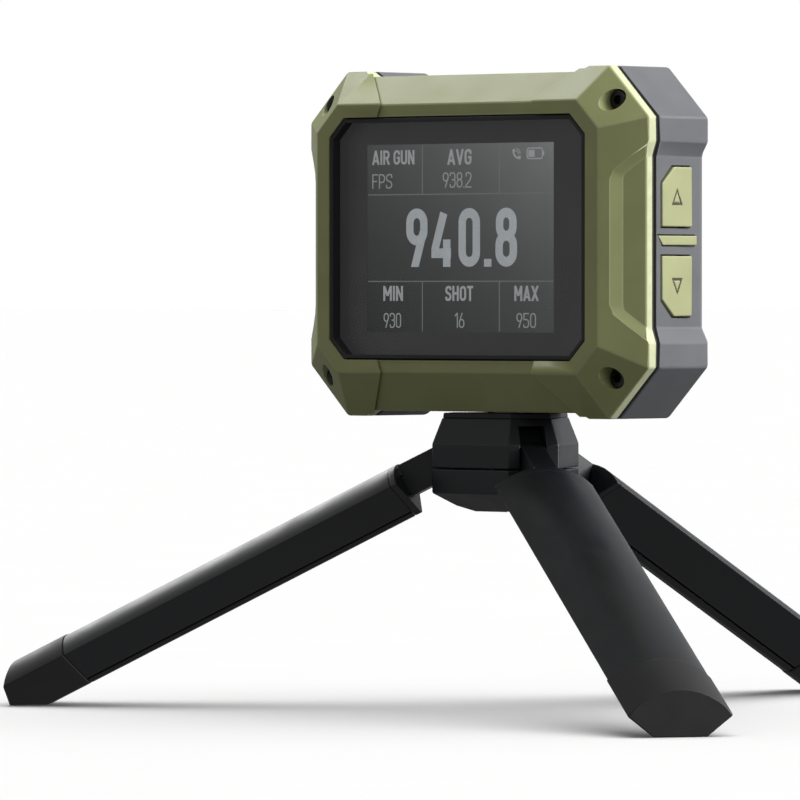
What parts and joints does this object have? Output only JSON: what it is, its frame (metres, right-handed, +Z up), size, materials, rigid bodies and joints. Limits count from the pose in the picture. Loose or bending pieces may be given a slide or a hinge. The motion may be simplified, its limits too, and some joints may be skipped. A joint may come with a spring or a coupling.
{
  "type": "pocket radar chronograph on a mini tripod",
  "caption": "Palm-size radar speed meter with a framed display and side keys, screwed on a folding mini tripod with spreading legs and rubber feet.",
  "frame": {"origin": "middle of the footprint on the ground: the feet's soles lie at Z = 0 and the box is centred in X and Y", "axes": "+Z up, -Y the way the display faces, +X to the display's right, where the up and down keys are"},
  "size_m": [0.2028, 0.1757, 0.1384],
  "materials": {
    "olive_paint": "soft-touch olive coating, fine grain",
    "key_green": "satin light olive keys",
    "grey_plastic": "fine-textured grey polymer",
    "black_plastic": "satin black polymer",
    "radome_plastic": "radar-transparent black polymer",
    "tripod_plastic": "satin black glass-filled polymer",
    "foot_rubber": "matt black rubber",
    "black_rubber": "matt black rubber",
    "smoked_glass": "smoked, satin anti-glare",
    "lcd_glass": "grey reflective display with light digits",
    "circuit_board": "solder-masked laminate",
    "steel": "plain",
    "black_steel": "black oxide",
    "brass": "plain",
    "battery_wrap": "foil pouch"
  },
  "bodies": {
    "hub": {"hub_upper": "tripod_plastic", "hub_lower": "tripod_plastic", "tripod_stud": "steel", "hub_screw": "steel", "top_pad": "black_rubber", "leg_left_pin": "steel", "leg_right_pin": "steel", "leg_rear_pin": "steel"},
    "unit": {"front_bezel": "olive_paint", "window_gasket": "black_rubber", "display_window": "smoked_glass", "lcd_panel": "lcd_glass", "lcd_frame": "black_plastic", "main_board": "circuit_board", "body_gasket": "black_rubber", "rear_housing": "grey_plastic", "radar_window": "radome_plastic", "radar_board": "circuit_board", "radar_shield": "steel", "battery": "battery_wrap", "battery_tray": "black_plastic", "side_rib_right": "key_green", "side_rib_left": "key_green", "key_board_right": "circuit_board", "key_board_left": "circuit_board", "key_seal_right": "black_rubber", "key_seal_left": "black_rubber", "up_switch": "black_plastic", "down_switch": "black_plastic", "power_switch": "black_plastic", "usb_port": "steel", "tripod_insert": "brass", "screw_top_left": "black_steel", "screw_top_right": "black_steel", "screw_bottom_left": "black_steel", "screw_bottom_right": "black_steel"},
    "up_key": {"up_button": "key_green"},
    "down_key": {"down_button": "key_green"},
    "power_key": {"power_button": "key_green"},
    "flap": {"usb_flap": "black_rubber"},
    "left_leg": {"leg_left_arm": "tripod_plastic", "leg_left_collar": "tripod_plastic", "leg_left_shell": "tripod_plastic", "leg_left_rail": "tripod_plastic", "leg_left_foot": "foot_rubber"},
    "right_leg": {"leg_right_arm": "tripod_plastic", "leg_right_collar": "tripod_plastic", "leg_right_shell": "tripod_plastic", "leg_right_rail": "tripod_plastic", "leg_right_foot": "foot_rubber"},
    "rear_leg": {"leg_rear_arm": "tripod_plastic", "leg_rear_collar": "tripod_plastic", "leg_rear_shell": "tripod_plastic", "leg_rear_rail": "tripod_plastic", "leg_rear_foot": "foot_rubber"}
  },
  "joints": [
    {"name": "unit_pan", "type": "hinge", "parent": "hub", "child": "unit", "pos_m": [0, -0.02265, 0.0644], "axis": [0, 0, 1], "range_deg": [-180, 180]},
    {"name": "left_leg_fold", "type": "hinge", "parent": "hub", "child": "left_leg", "pos_m": [-0.00866, -0.02765, 0.0578], "axis": [0.5, -0.866, 0], "range_deg": [0, 63]},
    {"name": "right_leg_fold", "type": "hinge", "parent": "hub", "child": "right_leg", "pos_m": [0.00866, -0.02765, 0.0578], "axis": [0.5, 0.866, 0], "range_deg": [0, 63]},
    {"name": "rear_leg_fold", "type": "hinge", "parent": "hub", "child": "rear_leg", "pos_m": [0, -0.01265, 0.0578], "axis": [-1, 0, 0], "range_deg": [0, 63]},
    {"name": "up_press", "type": "slide", "parent": "unit", "child": "up_key", "axis": [-1, 0, 0], "range_m": [0, 0.0008], "stiffness_N_per_m": 1200, "springref_m": -0.0004},
    {"name": "down_press", "type": "slide", "parent": "unit", "child": "down_key", "axis": [-1, 0, 0], "range_m": [0, 0.0008], "stiffness_N_per_m": 1200, "springref_m": -0.0004},
    {"name": "power_press", "type": "slide", "parent": "unit", "child": "power_key", "axis": [1, 0, 0], "range_m": [0, 0.0008], "stiffness_N_per_m": 1200, "springref_m": -0.0004},
    {"name": "flap_open", "type": "hinge", "parent": "unit", "child": "flap", "pos_m": [-0.0469, -0.01685, 0.0916], "axis": [0, 0, -1], "range_deg": [0, 90]}
  ]
}
